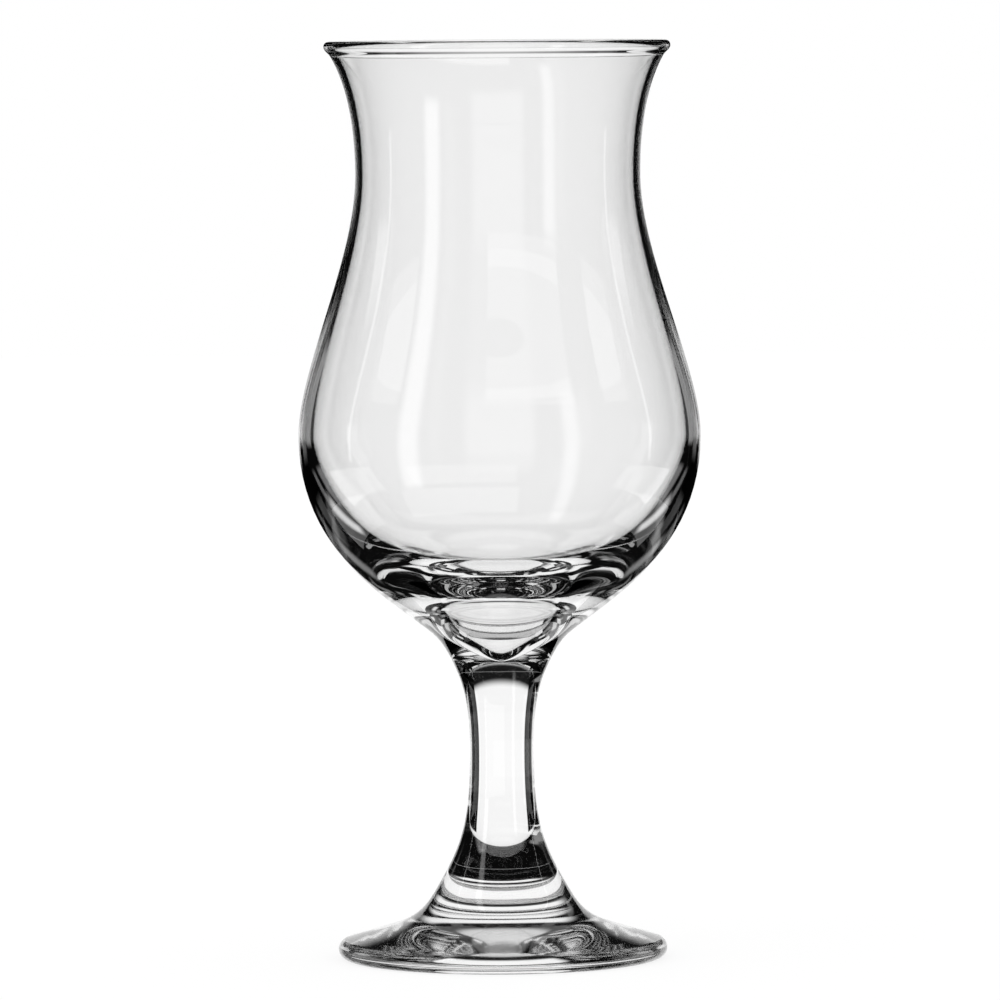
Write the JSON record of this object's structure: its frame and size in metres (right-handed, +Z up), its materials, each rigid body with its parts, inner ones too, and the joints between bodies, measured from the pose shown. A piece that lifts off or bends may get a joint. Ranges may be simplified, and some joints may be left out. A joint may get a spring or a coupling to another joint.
{
  "type": "poco grande glass",
  "caption": "Stemmed tulip-shaped drinking glass with a narrow neck, flared beaded rim, solid waisted stem and wide round foot, for mixed drinks.",
  "frame": {"origin": "middle of the foot, on the plane of the table that the glass stands on", "axes": "+Z up along the axis of the glass; X and Y are alike, because every piece is round"},
  "size_m": [0.0832, 0.0832, 0.19],
  "materials": {
    "clear_glass": "fire-polished, clear and colourless"
  },
  "bodies": {
    "root": {"bowl": "clear_glass", "stem": "clear_glass", "foot": "clear_glass"}
  },
  "joints": []
}
